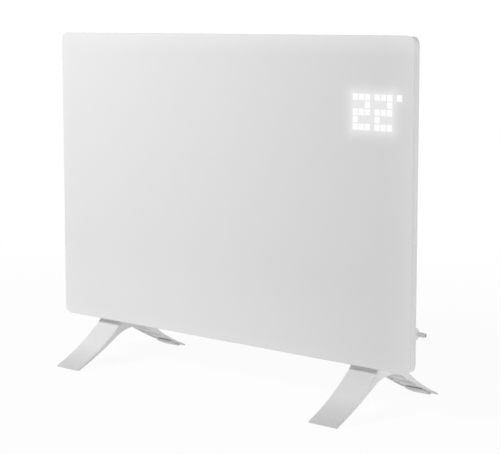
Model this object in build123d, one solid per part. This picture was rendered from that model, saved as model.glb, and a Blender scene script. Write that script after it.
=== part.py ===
from build123d import *
from math import sqrt
import os

# Glass-fronted panel convector heater that stands on two moulded floor feet.
#
# Millimetres. X runs to the right as seen from the front, Y to the back, Z up.
# The origin is on the floor, midway between the feet and under their middle.
# The glass faces -Y.

# ------------------------------------------------------------ driving dimensions

# Glass front
panel_width = 675.0
panel_height = 450.0
panel_corner_r = 12.0
panel_floor_gap = 68.0        # floor to the glass's lower edge
glass_thickness = 5.0
glass_bevel = 0.6
glass_front_y = -43.0         # the feet's middle is at Y 0
slab_depth = 12.6             # glass face to the back of the tray
tray_sheet = 1.0
tray_inset = 0.8              # tray rim inside the glass's edge

# Bonding rails between tray and glass
rail_count = 3
rail_edge = 42.0              # outer rails' middles inside the glass's top and bottom
rail_inset = 37.5             # rail's end inside the glass's side
rail_sheet = 0.8
rail_crown = 18.0             # width of the face that carries the tape
rail_brim = 9.0
rail_flare = 3.0
tape_thickness = 1.0
tape_width = 14.0

# Dot-matrix read-out: two digits of 3 x 5 cells and a degree cell
cell_size = 9.0
cell_wall = 1.0
cell_columns = 3
cell_rows = 5
digit_gap = 7.0               # between digits, and from the last one to the degree cell
display_side_inset = 18.5     # degree cell's side inside the glass's side
display_top_inset = 77.6      # cells' top under the glass's upper edge
light_box_margin = 4.0
diffuser_thickness = 0.5
display_board_thickness = 1.2
display_pad_thickness = 0.5
led_size = 3.0
led_height = 1.4

# Steel casing behind the glass
casing_inset = 51.5           # casing's side inside the glass's side
casing_depth = 71.4           # tray to the rear face
casing_lift = 2.0             # casing's underside above the glass's lower edge
casing_drop = 12.0            # casing's top below the glass's upper edge
casing_sheet = 1.0
channel_flange = 14.0
sheet_bend_r = 1.5
lap_gap = 0.15                # between casing pieces that lie side by side

# Air slots in the bottom channel and low in the rear panel
slot_pitch = 21.0
slot_side_inset = 83.0        # first slot from the casing's left side
slot_partition_gap = 20.0     # last slot from the partition
slot_width = 7.0
inlet_slot_length = 44.0
rear_slot_length = 34.0
rear_slot_rise = 39.0         # slot's middle above the casing's underside

# Moulded end caps
cap_depth = 12.0
cap_wall = 2.2
cap_corner_r = 10.0
cap_edge_bevel = 1.2
tongue_length = 8.0           # lip that runs in behind the rear panel
tongue_margin = 18.0          # lip's ends from the casing's top and bottom

# Casing screws: tray to end caps, and rear panel to end caps
screw_r = 1.5
screw_flats = 6.0
screw_head_height = 2.0
screw_gap = 0.1               # screw to its hole, on each side
screw_boss = 8.0
screw_boss_depth = 10.0
front_screw_rise = 150.0
front_screw_length = 9.0
hook_rise = 100.0             # lower hook's middle above the casing's underside
hook_display_gap = 41.4       # upper hook's middle under the read-out's cells
hook_length = 20.0
hook_thickness = 2.4
hook_barb = 1.2
hook_reach = 3.0              # past the tray's plate
hook_gap = 0.15
rear_screw_margin = 68.0      # from the casing's underside and from its top
rear_screw_inset = 16.0       # screw axis from the casing's outer side
rear_screw_length = 5.0

# Wall interfaces in the rear panel
keyhole_inset = 106.0         # from the casing's outer side
keyhole_from_top = 76.0       # round entry's middle under the casing's top
keyhole_head_r = 5.0
keyhole_slot_r = 2.4
keyhole_drop = 11.0
lock_hole_inset = 76.0
lock_hole_rise = 90.0
lock_hole_r = 2.6

# Outlet grille with curved vanes
grille_height = 12.0
grille_rim = 2.0
vane_count = 5
vane_thickness = 1.5
vane_lean = 6.0               # how far a vane's top leans to the front
vane_bulge = 1.4
cross_rib_count = 3
cross_rib_width = 2.4
cross_rib_height = 7.0

# Duct: partition, radiant baffle, finned element
partition_inset = 91.0        # partition's duct face from the casing's right side
partition_flange = 10.0
baffle_cap_gap = 12.0         # baffle's end to the left end cap
baffle_partition_gap = 7.0
baffle_rise = 25.0
baffle_grille_gap = 14.0
baffle_gap = 6.4              # baffle to the tray
baffle_sheet = 0.6
element_cap_gap = 49.0        # element's end to the left end cap
element_partition_gap = 30.0
element_from_tray = 38.4
element_rise = 95.0
element_core_r = 7.0
fin_span_y = 20.0
fin_span_z = 32.0
fin_root = 3.2
fin_tip = 1.6
fin_slot_pitch = 30.0
fin_slot_width = 2.0
fin_slot_start = 14.4         # from the element's axis
rod_r = 4.0
rod_overrun = 13.0
rod_gap = 0.2
blade_length = 9.0
blade_width = 6.3
blade_thickness = 0.8
bracket_sheet = 1.0
bracket_offset = 6.0          # element's end to the bracket
bracket_width = 44.0
bracket_rise = 22.0           # above the element's axis
bracket_flange = 10.0
bush_r = 7.5
bush_flange_r = 10.0
bush_flange_length = 4.0
bush_sleeve_length = 4.0
bush_gap = 0.1
cutout_partition_gap = 75.0   # cut-out's axis to the partition
cutout_rise = 135.0           # above the element's axis
cutout_r = 8.0
cutout_height = 8.0
cutout_flange_height = 1.6
cutout_ear = 6.0              # flange past the body, on each side
cutout_flange_width = 12.0

# Electronics bay on the right
power_board_partition_gap = 11.0
power_board_width = 62.0
power_board_drop = 34.0       # board's top under the ribbon's slot
power_board_height = 170.0
power_board_thickness = 1.6
power_board_gap = 10.4        # tray to the board

# What stands on the power board: place from its lower left corner, then size
# across, up and out to the back
relay_place = (8.0, 14.0)
relay_size = (16.0, 28.0, 20.0)
core_place = (30.0, 16.0)
core_size = (22.0, 30.0, 20.0)
bobbin_place = (27.0, 22.0)
bobbin_size = (28.0, 18.0, 17.0)
can_place = (16.0, 62.0)      # axis
can_r = 6.0
can_height = 20.0
suppressor_place = (30.0, 60.0)
suppressor_size = (18.0, 8.0, 14.0)
strip_place = (12.0, 1.0)
strip_size = (36.0, 10.0, 14.0)
strip_ways = 4
case_bevel = 1.0

# Terminals, switches and sensor in the bay
clip_inset = 5.0              # clip's middle from the board's side
clip_width = 6.0
clip_seat = 5.0               # how far a clip reaches in under its board
clip_wall = 1.5
clip_lip = 1.0
clip_gap = 0.15               # clip to the board's edge and upper face
ribbon_width = 20.0
ribbon_thickness = 0.4
ribbon_bend_r = 3.0
ribbon_board_inset = 40.0     # ribbon's middle from the board's left side
ribbon_slot_rise = 2.6        # above the cells' lower edge
ribbon_slot_height = 8.0
ribbon_from_tray = 16.4
socket_height = 12.0
terminal_width = 18.0
terminal_from_tray = 43.4
terminal_rise = 82.0
terminal_length = 26.0
terminal_height = 24.0
terminal_ways = 3
well_size = 5.0               # clamp chamber in a terminal
well_depth = 6.0
barrier_width = 1.2           # cut between two terminals
barrier_depth = 4.0
tip_switch_from_tray = 25.4
tip_switch_rise = 38.0
tip_switch_size = (16.0, 24.0, 32.0)
tip_switch_bevel = 3.0
sensor_partition_gap = 27.0
sensor_from_tray = 26.4
sensor_post = (5.0, 8.0, 16.0)
sensor_r = 2.0
sensor_length = 14.0
sensor_gap = 0.1

# Buttons on the right end cap
button_count = 4
button_pitch = 20.0
button_from_tray = 36.4
buttons_from_top = 66.0       # the row's middle under the casing's top
button_width = 9.0
button_height = 12.0
button_gap = 0.3              # button to its aperture, and flange to the bezel
button_proud = 1.6
button_bevel = 0.5
button_travel = 0.8
button_flange_lip = 1.2
button_flange = 1.0
button_stem = 3.0
bezel_width = 26.0
bezel_height = 92.0
bezel_r = 8.0
bezel_flange = 1.4
bezel_lip = 3.0
bezel_body = 1.4
bezel_bevel = 0.6
bezel_gap = 0.15
button_board_in = 11.8        # board's inner face from the cap's wall
button_board_thickness = 1.6
button_board_width = 22.0
button_board_height = 102.0
tact_size = 6.0
tact_height = 3.5
plunger_size = 3.2
plunger_height = 1.2
press_gap = 0.2               # stem to plunger at the end of the travel

# Mains rocker switch on the right end cap
rocker_from_tray = 47.4
rocker_rise = 90.0
rocker_pivot_in = 3.0         # pivot inside the cap's outer face
rocker_length = 15.0
rocker_width = 10.0
rocker_tilt = 9.0             # each way from level
rocker_crest = 4.8            # pivot to the face's ends
rocker_hollow = 1.4           # face's dip at the middle
rocker_skirt = 0.5            # pivot to where the flanks end
rocker_belly = 4.0            # pivot to the back
rocker_heel = 3.0             # half the back's length
rocker_pin_r = 1.2
rocker_pin_reach = 0.9
rocker_pin_gap = 0.1
rocker_side_gap = 0.2
rocker_end_gap = 1.0
frame_wall = 1.4
frame_flange = 2.0
frame_lip = 1.5
frame_depth = 18.0
frame_well = 12.0
frame_gap = 0.15
frame_bevel = 0.6

# Cord gland low on the right end cap
gland_from_tray = 47.4
gland_rise = 40.4
gland_thread_r = 6.0
gland_bore_r = 3.4
gland_flange_r = 8.3
gland_flange = 5.0
gland_inner_length = 10.0
gland_stub_r = 6.2
gland_stub = 7.0
gland_dome_r = 8.5
gland_dome_length = 14.0
gland_dome_taper = 5.0
gland_nose_r = 4.2
gland_nose_length = 15.0
nose_bore_r = 3.2
locknut_flats = 17.0
locknut_height = 4.0
thread_gap = 0.1

# Floor feet
foot_inset = 36.0             # foot's middle from the casing's side
foot_width = 48.0
foot_length = 240.0
foot_saddle = 52.0            # length of the face under the casing
foot_neck_drop = 7.5
foot_neck_flare = 1.0
foot_neck_r = 6.0
leg_top_sag = 4.8             # hollow of the swept top
leg_under_sag = 1.8           # how far the underside bows to the floor
arch_half = 40.0
arch_spring_drop = 30.0       # under the casing
arch_top_drop = 18.5
toe_thickness = 2.8
toe_lift = 0.5
foot_skin = 2.4
foot_edge_bevel = 0.9
toe_solid = 24.0              # length of each leg's solid end
leg_rib_y = (46.0, 70.0)
leg_rib = 1.8
foot_screw_pitch = 28.0
foot_screw_r = 2.5
foot_screw_gap = 0.25
foot_screw_flats = 8.0
foot_screw_head = 3.5
foot_boss = 14.0
foot_boss_height = 13.0
weld_nut_flats = 8.0
weld_nut_height = 4.0
pad_length = 24.4
pad_inset = 2.6               # pad's end inside the toe's end
pad_width = 28.0
pad_thickness = 3.2
pad_gap = 0.1

# ------------------------------------------------------------- worked-out places

panel_bottom_z = panel_floor_gap
panel_top_z = panel_bottom_z + panel_height
panel_mid_z = (panel_bottom_z + panel_top_z) / 2
glass_back_y = glass_front_y + glass_thickness
tray_back_y = glass_front_y + slab_depth
tray_floor_y = tray_back_y - tray_sheet

casing_bottom_z = panel_bottom_z + casing_lift
casing_top_z = panel_top_z - casing_drop
casing_rear_y = tray_back_y + casing_depth
casing_side_x = panel_width / 2 - casing_inset
cap_inner_x = casing_side_x - cap_depth
cap_wall_x = casing_side_x - cap_wall
sheet_half = cap_inner_x - lap_gap
rear_inner_y = casing_rear_y - casing_sheet
floor_plate_z = casing_bottom_z + casing_sheet
grille_bottom_z = casing_top_z - grille_height
tongue_rear_y = rear_inner_y - 0.1
tongue_front_y = tongue_rear_y - cap_wall

partition_x = casing_side_x - partition_inset
slot_first_x = slot_side_inset - casing_side_x
slot_count = 1 + round((partition_x - slot_partition_gap - slot_first_x) / slot_pitch)
slot_xs = [slot_first_x + i * slot_pitch for i in range(slot_count)]
rear_slot_z = casing_bottom_z + rear_slot_rise
keyhole_x = casing_side_x - keyhole_inset
keyhole_z = casing_top_z - keyhole_from_top
lock_hole_x = casing_side_x - lock_hole_inset
lock_hole_z = casing_bottom_z + lock_hole_rise

cell_pitch = cell_size + cell_wall
digit_pitch = cell_columns * cell_pitch - cell_wall + digit_gap
degree_left_x = panel_width / 2 - display_side_inset - cell_size
cells_bottom_z = panel_top_z - display_top_inset - cell_rows * cell_pitch + cell_wall
hook_zs = (casing_bottom_z + hook_rise, cells_bottom_z - hook_display_gap)

baffle_left_x = baffle_cap_gap - cap_inner_x
baffle_right_x = partition_x - baffle_partition_gap
baffle_bottom_z = casing_bottom_z + baffle_rise
baffle_top_z = grille_bottom_z - baffle_grille_gap
element_left_x = element_cap_gap - cap_inner_x
element_right_x = partition_x - element_partition_gap
element_y = tray_back_y + element_from_tray
element_z = casing_bottom_z + element_rise
cutout_x = partition_x - cutout_partition_gap
cutout_z = element_z + cutout_rise

power_board_x = partition_x + power_board_partition_gap
power_board_front_y = tray_back_y + power_board_gap
power_board_back_y = power_board_front_y + power_board_thickness
ribbon_x = power_board_x + ribbon_board_inset
ribbon_slot_z = cells_bottom_z + ribbon_slot_rise
power_board_z = ribbon_slot_z - power_board_drop - power_board_height
ribbon_drop_y = tray_back_y + ribbon_from_tray
terminal_y = tray_back_y + terminal_from_tray
terminal_z = casing_bottom_z + terminal_rise
tip_switch_y = tray_back_y + tip_switch_from_tray
tip_switch_z = casing_bottom_z + tip_switch_rise
sensor_x = partition_x + sensor_partition_gap
sensor_y = tray_back_y + sensor_from_tray

button_y = tray_back_y + button_from_tray
button_mid_z = casing_top_z - buttons_from_top
button_board_x = cap_wall_x - button_board_in
rocker_y = tray_back_y + rocker_from_tray
rocker_z = casing_bottom_z + rocker_rise
gland_y = tray_back_y + gland_from_tray
gland_z = casing_bottom_z + gland_rise

button_zs = [button_mid_z + (i - (button_count - 1) / 2) * button_pitch
             for i in range(button_count)]
bezel_face_x = casing_side_x + bezel_flange
bezel_back_x = casing_side_x - bezel_body
plunger_x = button_board_x + button_board_thickness + tact_height + plunger_height
foot_xs = {"left": foot_inset - casing_side_x, "right": casing_side_x - foot_inset}
foot_screw_ys = (-foot_screw_pitch / 2, foot_screw_pitch / 2)


# ------------------------------------------------------------------ small helpers

def block(x, y, z):
    """A box between the low and the high value given for each axis."""
    size = [high - low for low, high in (x, y, z)]
    middle = [(low + high) / 2 for low, high in (x, y, z)]
    return Pos(*middle) * Box(*size)


def rod(start, direction, radius, length):
    """A round bar that runs from a point along a direction."""
    return extrude(Plane(start, z_dir=direction) * Circle(radius), amount=length)


def front_outline(y, outline, depth):
    """An outline drawn as seen from the front, at Y, made solid towards the back."""
    plane = Plane((0, y, 0), x_dir=(1, 0, 0), z_dir=(0, -1, 0))
    return extrude(plane * outline, amount=-depth)


def side_outline(x, outline, length):
    """An outline drawn in Y and Z, at X, made solid towards +X."""
    return extrude(Plane.YZ.offset(x) * outline, amount=length)


def group(solids):
    """Separate solids of one kind, kept as one node."""
    return Compound(children=list(solids))


def sided(side, x):
    """A range of X on the right, or its mirror image on the left."""
    return tuple(sorted((side * x[0], side * x[1])))


def around(value, width):
    """The low and high value of a width laid evenly about a middle."""
    return (value - width / 2, value + width / 2)


# -------------------------------------------------------------------- glass front

def glass_panel():
    """Tempered glass with rounded corners and a fine ground edge."""
    outline = Pos(0, panel_mid_z) * RectangleRounded(panel_width, panel_height, panel_corner_r)
    plate = front_outline(glass_front_y, outline, glass_thickness)
    front = plate.faces().sort_by(Axis.Y)[0]
    return chamfer(front.edges(), glass_bevel)


def panel_tray():
    """Shallow sheet tray whose rim reaches forward to the glass."""
    shell = None
    depth = tray_back_y - glass_back_y
    for inset, pocket in ((tray_inset, depth), (tray_inset + tray_sheet, depth - tray_sheet)):
        outline = Pos(0, panel_mid_z) * RectangleRounded(
            panel_width - 2 * inset, panel_height - 2 * inset, panel_corner_r - inset)
        solid = front_outline(glass_back_y, outline, pocket)
        shell = solid if shell is None else shell - solid
    for x, z in front_screw_places():
        shell -= screw_core(x, z, (tray_floor_y - 1, tray_back_y + 1))
    for side in (-1, 1):
        slot_x = (cap_wall_x - screw_boss - hook_gap,
                  cap_wall_x - screw_boss + hook_thickness + hook_barb + hook_gap)
        for z in hook_zs:
            shell -= block(sided(side, slot_x), (tray_floor_y - 1, tray_back_y + 1),
                           around(z, hook_length + 2 * hook_gap))
    shell -= block(around(ribbon_x, ribbon_width + 2), (tray_floor_y - 1, tray_back_y + 1),
                   around(ribbon_slot_z, ribbon_slot_height))
    return shell


rail_half = panel_width / 2 - rail_inset


def rail_heights():
    pitch = (panel_height - 2 * rail_edge) / (rail_count - 1)
    return [panel_bottom_z + rail_edge + i * pitch for i in range(rail_count)]


def bonding_rails():
    """Hat-section rails, spot-welded in the tray, that carry the glass."""
    brim_y = tray_floor_y - rail_sheet / 2
    crown_y = glass_back_y + tape_thickness + rail_sheet / 2
    half = rail_crown / 2
    rails = []
    for z in rail_heights():
        points = [(brim_y, z - half - rail_flare - rail_brim), (brim_y, z - half - rail_flare),
                  (crown_y, z - half), (crown_y, z + half),
                  (brim_y, z + half + rail_flare), (brim_y, z + half + rail_flare + rail_brim)]
        rails.append(side_outline(-rail_half, trace(Polyline(*points), rail_sheet),
                                  2 * rail_half))
    return group(rails)


def bonding_tapes():
    """Foam tape between each rail's crown and the glass."""
    return group(block((-rail_half, rail_half),
                       (glass_back_y, glass_back_y + tape_thickness),
                       around(z, tape_width)) for z in rail_heights())


# ----------------------------------------------------------------- lit read-out

def cell_places():
    """Middles of all cells, as X and Z, digit by digit and the degree cell last."""
    half = cell_size / 2
    places = []
    for left in (degree_left_x - 2 * digit_pitch, degree_left_x - digit_pitch):
        for column in range(cell_columns):
            for row in range(cell_rows):
                places.append((left + half + column * cell_pitch,
                               cells_bottom_z + half + row * cell_pitch))
    places.append((degree_left_x + half, cells_bottom_z + half + (cell_rows - 1) * cell_pitch))
    return places


def display_bounds():
    """X and Z range of the light box."""
    xs = [x for x, z in cell_places()]
    zs = [z for x, z in cell_places()]
    reach = cell_size / 2 + light_box_margin
    return (min(xs) - reach, max(xs) + reach), (min(zs) - reach, max(zs) + reach)


light_box_front_y = glass_back_y + diffuser_thickness
display_board_back_y = tray_floor_y - display_pad_thickness
display_board_front_y = display_board_back_y - display_board_thickness


def display_diffuser():
    """Milky film that spreads the light behind the glass."""
    x, z = display_bounds()
    return block(x, (glass_back_y, light_box_front_y), z)


def display_light_box():
    """Black moulding with one light well for each cell."""
    x, z = display_bounds()
    body = block(x, (light_box_front_y, display_board_front_y), z)
    wells = [block(around(cx, cell_size), (light_box_front_y - 1, display_board_front_y + 1),
                   around(cz, cell_size)) for cx, cz in cell_places()]
    return body - wells


def display_board():
    """Circuit board that closes the wells."""
    x, z = display_bounds()
    return block(x, (display_board_front_y, display_board_back_y), z)


def display_pads():
    """Sticky pads that hold the board in the tray, left and right of the ribbon."""
    x, z = display_bounds()
    y = (display_board_back_y, tray_floor_y)
    clear = ribbon_width / 2 + 2
    low = block((ribbon_x + clear, x[1]), y, (z[0], z[0] + cell_size))
    high = block((ribbon_x + clear, x[1]), y, (z[1] - cell_size, z[1]))
    return group((low, high))


def display_leds():
    """One light-emitting chip at the foot of each well."""
    y = (display_board_front_y - led_height, display_board_front_y)
    return group(block(around(x, led_size), y, around(z, led_size)) for x, z in cell_places())


# ------------------------------------------------------------------------- casing

def front_screw_places():
    """X and Z of the screws that hold the end caps to the tray."""
    x = cap_wall_x - screw_boss / 2
    return [(side * x, casing_bottom_z + front_screw_rise) for side in (-1, 1)]


def rear_screw_places():
    """X and Z of the screws that hold the rear panel to the end caps."""
    x = casing_side_x - rear_screw_inset
    heights = (casing_bottom_z + rear_screw_margin, casing_top_z - rear_screw_margin)
    return [(side * x, z) for side in (-1, 1) for z in heights]


def keyhole(x):
    """Round entry for a screw's head, with a narrow slot above it to hang on."""
    head = rod((x, rear_inner_y - 1, keyhole_z), (0, 1, 0), keyhole_head_r, casing_sheet + 2)
    seat = rod((x, rear_inner_y - 1, keyhole_z + keyhole_drop), (0, 1, 0),
               keyhole_slot_r, casing_sheet + 2)
    neck = block((x - keyhole_slot_r, x + keyhole_slot_r),
                 (rear_inner_y - 1, casing_rear_y + 1), (keyhole_z, keyhole_z + keyhole_drop))
    return head + seat + neck


def rear_panel():
    """Flat rear sheet with low air slots, keyholes and lock-screw holes."""
    sheet = block((-sheet_half, sheet_half), (rear_inner_y, casing_rear_y),
                  (casing_bottom_z, casing_top_z))
    cuts = [block(around(x, slot_width), (rear_inner_y - 1, casing_rear_y + 1),
                  around(rear_slot_z, rear_slot_length)) for x in slot_xs]
    cuts += [keyhole(side * keyhole_x) for side in (-1, 1)]
    for side in (-1, 1):
        cuts.append(rod((side * lock_hole_x, rear_inner_y - 1, lock_hole_z),
                        (0, 1, 0), lock_hole_r, casing_sheet + 2))
    cuts += [screw_core(x, z, (rear_inner_y - 1, casing_rear_y + 1))
             for x, z in rear_screw_places()]
    return sheet - cuts


def bottom_channel():
    """Folded U-channel that carries the feet and lets the air in."""
    middle = casing_sheet / 2
    front, rear = tray_back_y + middle, rear_inner_y - middle
    low, high = casing_bottom_z + middle, casing_bottom_z + channel_flange
    path = FilletPolyline((front, high), (front, low), (rear, low), (rear, high),
                          radius=sheet_bend_r)
    channel = side_outline(-sheet_half, trace(path, casing_sheet), 2 * sheet_half)
    slot_y = (tray_back_y + rear_inner_y) / 2
    cuts = [block(around(x, slot_width), around(slot_y, inlet_slot_length),
                  (casing_bottom_z - 1, floor_plate_z + 1)) for x in slot_xs]
    for x in foot_xs.values():
        cuts += [foot_screw_core(x, y, (casing_bottom_z - 1, floor_plate_z + 1))
                 for y in foot_screw_ys]
    return channel - cuts


def end_cap(side):
    """Moulded end cap: outer wall, four edges, a tongue, a screw boss and two hooks."""
    body = block(sided(side, (cap_inner_x, casing_side_x)), (tray_back_y, casing_rear_y),
                 (casing_bottom_z, casing_top_z))
    hollow = block(sided(side, (cap_inner_x - 1, cap_wall_x)),
                   (tray_back_y + cap_wall, casing_rear_y - cap_wall),
                   (casing_bottom_z + cap_wall, casing_top_z - cap_wall))
    body = fillet(rear_corner(body, side), cap_corner_r)
    hollow = fillet(rear_corner(hollow, side), cap_corner_r - cap_wall)
    outer = body.faces().filter_by(Axis.X).sort_by(lambda face: side * face.center().X)[-1]
    body = chamfer(outer.edges().filter_by(Axis.Y), cap_edge_bevel)
    cap = body - hollow
    cap += block(sided(side, (cap_inner_x - tongue_length, cap_inner_x + cap_wall)),
                 (tongue_front_y, tongue_rear_y),
                 (casing_bottom_z + tongue_margin, casing_top_z - tongue_margin))
    for x, z in front_screw_places():
        if x * side > 0:
            cap += block(around(x, screw_boss), (tray_back_y, tray_back_y + screw_boss_depth),
                         around(z, screw_boss))
            cap -= screw_core(x, z, (tray_back_y - 1, tray_back_y + screw_boss_depth + 1))
    stem = (cap_wall_x - screw_boss, cap_wall_x - screw_boss + hook_thickness)
    tip_y = tray_floor_y - hook_reach
    for z in hook_zs:
        cap += block(sided(side, stem), (tip_y, tray_back_y + cap_wall), around(z, hook_length))
        cap += block(sided(side, (stem[0], stem[1] + hook_barb)),
                     (tip_y, tray_floor_y - hook_gap), around(z, hook_length))
    for x, z in rear_screw_places():
        if x * side > 0:
            cap -= screw_core(x, z, (tongue_front_y - 1, casing_rear_y + 1))
    return cap


def screw_core(x, z, y):
    """Square hole for a casing screw, under its head or in its boss."""
    return block(around(x, 2 * (screw_r + screw_gap)), y, around(z, 2 * (screw_r + screw_gap)))


def rear_corner(body, side):
    """The upright edge of a block at its outer rear corner."""
    return body.edges().filter_by(Axis.Z).sort_by(
        lambda edge: side * edge.center().X + edge.center().Y)[-1]


def end_cap_right():
    """The right cap also takes the buttons, the mains switch and the cord gland."""
    cap = end_cap(1)
    board_x = (button_board_x, button_board_x + button_board_thickness)
    for end in (-1, 1):
        edge = button_mid_z + end * button_board_height / 2
        for x, z in edge_clip((cap_wall_x, board_x[1], board_x[0]), edge, end):
            cap += block(x, around(button_y, clip_width), z)
    cap -= side_outline(cap_wall_x - 1, bezel_outline(bezel_lip - bezel_gap), cap_wall + 2)
    cap -= block((cap_wall_x - 1, casing_side_x + 1),
                 around(rocker_y, frame_width() + 2 * frame_gap),
                 around(rocker_z, frame_height() + 2 * frame_gap))
    cap -= rod((cap_wall_x - 1, gland_y, gland_z), (1, 0, 0), gland_thread_r + thread_gap,
               cap_wall + 2)
    return cap


def edge_clip(stations, edge, end):
    """Seat, wall and lip that grip a board's edge, each as a pair of ranges.

    The stations are the clip's root, the board's near face and its far face.
    """
    root, near, far = stations
    away = 1 if far > near else -1
    lip = far + away * clip_gap
    tip = lip + away * clip_wall
    inner, outer = edge + end * clip_gap, edge + end * (clip_gap + clip_wall)
    ranges = (((root, near), (edge - end * clip_seat, outer)),
              ((root, tip), (inner, outer)),
              ((lip, tip), (edge - end * clip_lip, outer)))
    return [(tuple(sorted(a)), tuple(sorted(b))) for a, b in ranges]


def screw(start, direction, length, radius, flats, head_height):
    """Hexagon-head screw: the shank runs from the seat along the direction."""
    back = tuple(-value for value in direction)
    head = extrude(Plane(start, z_dir=back) * hexagon(flats), amount=head_height)
    return head + rod(start, direction, radius, length)


def hexagon(flats):
    """A hexagon by the width across its flats."""
    return RegularPolygon(flats / 2, 6, major_radius=False)


def front_screws():
    """Screws through the tray into the end caps' bosses, with heads behind the glass."""
    return group(screw((x, tray_floor_y, z), (0, 1, 0), front_screw_length, screw_r,
                       screw_flats, screw_head_height) for x, z in front_screw_places())


def rear_screws():
    """Screws through the rear panel into the end caps' tongues."""
    return group(screw((x, casing_rear_y, z), (0, -1, 0), rear_screw_length, screw_r,
                       screw_flats, screw_head_height) for x, z in rear_screw_places())


# ----------------------------------------------------------------- outlet grille

def vane(y):
    """One curved louvre, hollow side up, that turns the warm air to the front."""
    foot = (y, grille_bottom_z)
    tip = (y - vane_lean, casing_top_z - grille_rim / 2)
    middle = (y - vane_lean / 2 + vane_bulge, (foot[1] + tip[1]) / 2)
    line = ThreePointArc(foot, middle, tip)
    return side_outline(-sheet_half + grille_rim / 2, trace(line, vane_thickness),
                        2 * sheet_half - grille_rim)


def outlet_grille():
    """Moulded grille: rim, curved vanes and cross ribs under them."""
    front, rear = tray_back_y + lap_gap, rear_inner_y - lap_gap
    rim = block((-sheet_half, sheet_half), (front, rear), (grille_bottom_z, casing_top_z))
    rim -= block((-sheet_half + grille_rim, sheet_half - grille_rim),
                 (front + grille_rim, rear - grille_rim),
                 (grille_bottom_z - 1, casing_top_z + 1))
    vane_pitch = (rear - front - vane_lean) / (vane_count + 1)
    vanes = [vane(front + vane_lean + (i + 1) * vane_pitch) for i in range(vane_count)]
    rib_pitch = 2 * sheet_half / (cross_rib_count + 1)
    ribs = [block(around(-sheet_half + (i + 1) * rib_pitch, cross_rib_width),
                  (front + grille_rim / 2, rear - grille_rim / 2),
                  (grille_bottom_z, grille_bottom_z + cross_rib_height))
            for i in range(cross_rib_count)]
    return rim + vanes + ribs


# ------------------------------------------------------------- duct and element

def partition_plate():
    """Folded sheet wall between the air duct and the electronics bay."""
    middle = casing_sheet / 2
    front, rear = tray_back_y + middle, rear_inner_y - middle
    x = partition_x + middle
    path = Polyline((x + partition_flange, front), (x, front), (x, rear),
                    (x + partition_flange, rear))
    bottom = casing_bottom_z + channel_flange + lap_gap
    top = grille_bottom_z - lap_gap
    return extrude(Plane.XY.offset(bottom) * trace(path, casing_sheet), amount=top - bottom)


def heat_baffle():
    """Radiant shield in front of the element, folded back to the tray at both ends."""
    y = tray_back_y + baffle_gap + baffle_sheet / 2
    path = Polyline((tray_back_y, baffle_bottom_z), (y, baffle_bottom_z),
                    (y, baffle_top_z), (tray_back_y, baffle_top_z))
    return side_outline(baffle_left_x, trace(path, baffle_sheet),
                        baffle_right_x - baffle_left_x)


def heating_element():
    """Extruded X-profile with slotted fins round a bored core."""
    profile = Circle(element_core_r)
    for side_y in (-1, 1):
        for side_z in (-1, 1):
            along = Vector(side_y * fin_span_y, side_z * fin_span_z).normalized()
            across = Vector(-along.Y, along.X)
            tip = Vector(side_y * fin_span_y, side_z * fin_span_z)
            corners = [across * (fin_root / 2), tip + across * (fin_tip / 2),
                       tip - across * (fin_tip / 2), across * (-fin_root / 2)]
            profile += make_face(Polyline(*[(p.X, p.Y) for p in corners], close=True))
    profile -= Circle(rod_r + rod_gap)
    length = element_right_x - element_left_x
    body = side_outline(element_left_x, Pos(element_y, element_z) * profile, length)
    count = round(length / fin_slot_pitch) - 1
    reach = fin_span_z + fin_tip
    slots = []
    for i in range(count):
        middle = (element_left_x + element_right_x) / 2 + (i - (count - 1) / 2) * fin_slot_pitch
        x = around(middle, fin_slot_width)
        y = (element_y - fin_span_y - fin_tip, element_y + fin_span_y + fin_tip)
        slots.append(block(x, y, (element_z + fin_slot_start, element_z + reach)))
        slots.append(block(x, y, (element_z - reach, element_z - fin_slot_start)))
    return body - slots


def element_core():
    """Sheathed heating rod with a terminal blade at each end."""
    left = element_left_x - rod_overrun
    length = element_right_x - element_left_x + 2 * rod_overrun
    bar = rod((left, element_y, element_z), (1, 0, 0), rod_r, length)
    for x in ((left - blade_length, left + 1), (left + length - 1, left + length + blade_length)):
        bar += block(x, around(element_y, blade_width), around(element_z, blade_thickness))
    return bar


def bracket_faces():
    """X of each bracket's outer face, with the side that it looks to."""
    return ((element_left_x - bracket_offset, -1), (element_right_x + bracket_offset, 1))


def element_brackets():
    """Two folded brackets, welded to the bottom channel, that hold the element."""
    brackets = []
    for inner_x, side in bracket_faces():
        x = inner_x + side * bracket_sheet / 2
        z = floor_plate_z + bracket_sheet / 2
        path = Polyline((x + side * bracket_flange, z), (x, z), (x, element_z + bracket_rise))
        plane = Plane((0, element_y + bracket_width / 2, 0), x_dir=(1, 0, 0), z_dir=(0, -1, 0))
        plate = extrude(plane * trace(path, bracket_sheet), amount=bracket_width)
        hole = rod((x - side * bracket_sheet, element_y, element_z), (side, 0, 0),
                   bush_r + bush_gap, 2 * bracket_sheet)
        brackets.append(plate - hole)
    return group(brackets)


def element_bushes():
    """Ceramic bushes between the rod and the brackets."""
    bushes = []
    for inner_x, side in bracket_faces():
        seat = (inner_x, element_y, element_z)
        bush = rod(seat, (-side, 0, 0), bush_flange_r, bush_flange_length)
        bush += rod(seat, (side, 0, 0), bush_r, bush_sleeve_length)
        start = inner_x - side * (bush_flange_length + 1)
        bush -= rod((start, element_y, element_z), (side, 0, 0), rod_r + rod_gap,
                    bush_flange_length + bush_sleeve_length + 2)
        bushes.append(bush)
    return group(bushes)


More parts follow.
